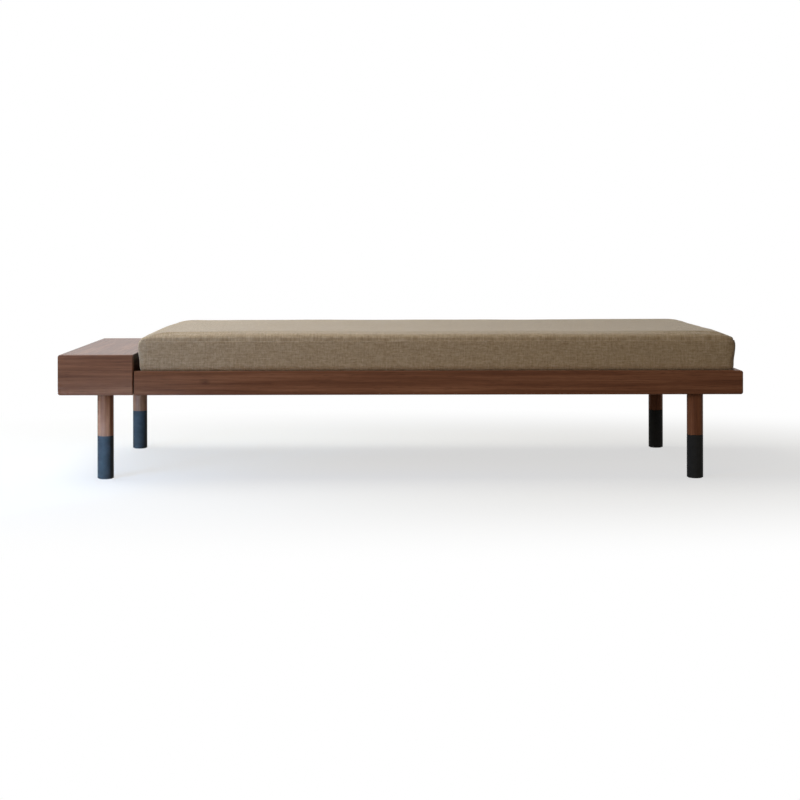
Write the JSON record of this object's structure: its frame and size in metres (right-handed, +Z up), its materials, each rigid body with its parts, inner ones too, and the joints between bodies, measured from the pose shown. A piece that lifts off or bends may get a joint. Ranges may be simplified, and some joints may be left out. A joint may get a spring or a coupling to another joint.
{
  "type": "meridienne",
  "caption": "Low walnut daybed on round legs with black sleeves, a loose boxed mattress in a shallow rail frame and an end box with a drawer whose top is a side table.",
  "frame": {"origin": "on the floor under the middle of the daybed", "axes": "+X to the right along the length, from the end box to the open end; front at -Y; +Z up"},
  "size_m": [1.9, 0.7, 0.412],
  "materials": {
    "walnut": "satin",
    "black_leather": "satin",
    "beech": "matte",
    "beech_dowel": "matte",
    "birch_plywood": "satin",
    "zinc_steel": "satin",
    "slide_steel": "satin",
    "ball_steel": "polished",
    "black_nylon": "matte",
    "cushion_cloth": "matte",
    "base_cloth": "matte",
    "foam": "matte",
    "zip_tape": "matte",
    "zip_metal": "satin"
  },
  "bodies": {
    "frame": {"barrel_nuts": "zinc_steel", "box_back": "walnut", "box_bottom": "birch_plywood", "box_dowels": "beech_dowel", "box_left_panel": "walnut", "box_right_panel": "walnut", "box_top": "walnut", "case_slide_screws": "zinc_steel", "connector_bolts": "zinc_steel", "frame_dowels": "beech_dowel", "front_ledge": "beech", "front_rail": "walnut", "hanger_bolts": "zinc_steel", "insert_nuts": "zinc_steel", "ledge_screws": "zinc_steel", "left_cross_rail": "beech", "leg_board": "beech", "leg_front_left": "walnut", "leg_front_right": "walnut", "leg_glides": "black_nylon", "leg_rear_left": "walnut", "leg_rear_right": "walnut", "leg_sleeve_front_left": "black_leather", "leg_sleeve_front_right": "black_leather", "leg_sleeve_rear_left": "black_leather", "leg_sleeve_rear_right": "black_leather", "mitre_splines": "beech_dowel", "rear_ledge": "beech", "rear_rail": "walnut", "right_end_rail": "walnut", "slat_01": "beech", "slat_02": "beech", "slat_03": "beech", "slat_04": "beech", "slat_05": "beech", "slat_06": "beech", "slat_07": "beech", "slat_08": "beech", "slat_09": "beech", "slat_10": "beech", "slat_11": "beech", "slat_screws": "zinc_steel", "slide_case_members": "slide_steel", "spacer_washers": "zinc_steel"},
    "drawer": {"drawer_front": "walnut", "drawer_left_side": "birch_plywood", "drawer_right_side": "birch_plywood", "drawer_back": "birch_plywood", "drawer_bottom": "birch_plywood", "drawer_dowels": "beech_dowel", "slide_drawer_members": "slide_steel", "drawer_slide_screws": "zinc_steel"},
    "ball_cages": {"ball_cages": "slide_steel", "slide_balls": "ball_steel"},
    "mattress": {"mattress_core": "foam", "mattress_top_panel": "cushion_cloth", "mattress_boxing": "cushion_cloth", "mattress_base_panel": "base_cloth", "mattress_zip": "zip_tape"},
    "zip_slider": {"zip_slider": "zip_metal"}
  },
  "joints": [
    {"name": "drawer_slide", "type": "slide", "parent": "frame", "child": "drawer", "axis": [0, -1, 0], "range_m": [0, 0.375]},
    {"name": "cage_slide", "type": "slide", "parent": "frame", "child": "ball_cages", "axis": [0, -1, 0], "range_m": [0, 0.1875]},
    {"name": "mattress_lift", "type": "slide", "parent": "frame", "child": "mattress", "axis": [0, 0, 1], "range_m": [0, 0.15]},
    {"name": "zip_run", "type": "slide", "parent": "mattress", "child": "zip_slider", "axis": [1, 0, 0], "range_m": [0, 1.183]}
  ],
  "couplings": [
    {"joint": "cage_slide", "follows": "drawer_slide", "ratio": 0.5}
  ]
}
